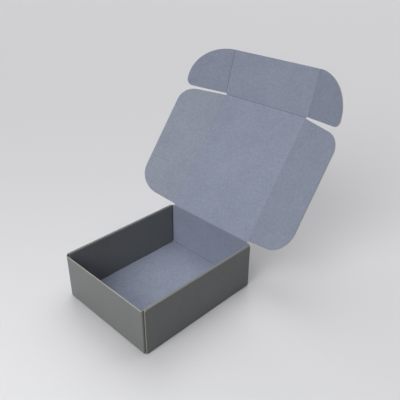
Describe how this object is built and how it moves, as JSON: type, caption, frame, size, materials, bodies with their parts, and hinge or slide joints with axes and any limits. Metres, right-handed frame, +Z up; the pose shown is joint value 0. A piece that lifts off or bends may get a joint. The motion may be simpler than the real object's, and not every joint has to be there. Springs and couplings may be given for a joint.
{
  "type": "corrugated mailer box",
  "caption": "Open roll-end mailer box of fine corrugated board: a tray with rolled side walls and a hinged lid with side wings and a tuck flap with ears.",
  "frame": {"origin": "centre of the tray's underside, on the surface that it stands on", "axes": "+Z up, +X along the lid's hinge line to the right as seen from the front, +Y from the front panel to the hinge"},
  "size_m": [0.2563, 0.3073, 0.2707],
  "materials": {
    "tray_board": "matte printed board, dark grey outside and blue-grey inside, with bare kraft-brown cut edges",
    "lid_board": "matte printed board, blue-grey inside and dark grey outside, with bare kraft-brown cut edges"
  },
  "bodies": {
    "tray": {"tray": "tray_board"},
    "lid": {"lid_panel": "lid_board"},
    "wing_left": {"wing_left": "lid_board"},
    "wing_right": {"wing_right": "lid_board"},
    "tuck": {"tuck_flap": "lid_board"},
    "ear_left": {"ear_left": "lid_board"},
    "ear_right": {"ear_right": "lid_board"}
  },
  "joints": [
    {"name": "lid_hinge", "type": "hinge", "parent": "tray", "child": "lid", "pos_m": [0, 0.09035, 0.06575], "axis": [1, 0, 0], "range_deg": [-53, 75]},
    {"name": "wing_left_crease", "type": "hinge", "parent": "lid", "child": "wing_left", "pos_m": [-0.0696, 0.09035, 0.06575], "axis": [0, 0.6018, 0.7986], "range_deg": [-31, 59]},
    {"name": "wing_right_crease", "type": "hinge", "parent": "lid", "child": "wing_right", "pos_m": [0.0696, 0.09035, 0.06575], "axis": [0, -0.6018, -0.7986], "range_deg": [-11, 79]},
    {"name": "tuck_crease", "type": "hinge", "parent": "lid", "child": "tuck", "pos_m": [0, 0.1982, 0.20887], "axis": [1, 0, 0], "range_deg": [-21, 32]},
    {"name": "ear_left_crease", "type": "hinge", "parent": "tuck", "child": "ear_left", "pos_m": [-0.07105, 0.1982, 0.20887], "axis": [0, 0.2756, 0.9613], "range_deg": [-30, 60]},
    {"name": "ear_right_crease", "type": "hinge", "parent": "tuck", "child": "ear_right", "pos_m": [0.07105, 0.1982, 0.20887], "axis": [0, -0.2756, -0.9613], "range_deg": [-21, 69]}
  ]
}
